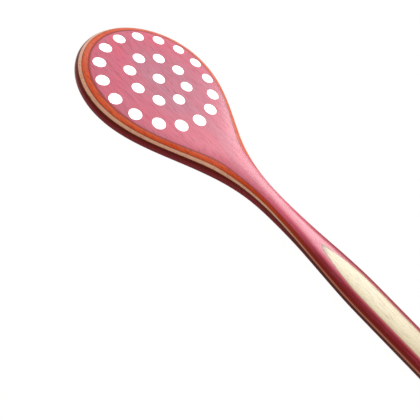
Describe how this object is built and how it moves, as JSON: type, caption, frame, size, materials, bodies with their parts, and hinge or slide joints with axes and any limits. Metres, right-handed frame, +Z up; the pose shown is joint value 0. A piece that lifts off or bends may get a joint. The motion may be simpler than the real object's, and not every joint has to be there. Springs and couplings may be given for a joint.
{
  "type": "perforated wooden spoon",
  "caption": "Flat round-bladed wooden spoon of glued dyed plies with drain holes and a long slender handle.",
  "frame": {"origin": "middle of the spoon's bounding box, on the surface it lies on", "axes": "+X along the spoon towards the end of the handle, +Z up out of the blade's face, +Y to the left seen from the blade"},
  "size_m": [0.305, 0.0636, 0.0068],
  "materials": {
    "cream_wood": "undyed pale veneer, clear satin lacquer",
    "red_wood": "red dyed veneer, clear satin lacquer",
    "orange_wood": "orange dyed veneer, clear satin lacquer",
    "brown_wood": "dark brown dyed veneer, clear satin lacquer",
    "maroon_wood": "maroon dyed veneer, clear satin lacquer",
    "wine_wood": "wine dyed veneer, clear satin lacquer"
  },
  "bodies": {
    "root": {"cream_face_ply": "cream_wood", "red_ply": "red_wood", "orange_ply": "orange_wood", "cream_core_ply": "cream_wood", "brown_ply": "brown_wood", "maroon_ply": "maroon_wood", "wine_ply": "wine_wood", "base_ply_blade": "maroon_wood", "base_ply_end": "maroon_wood"}
  },
  "joints": []
}
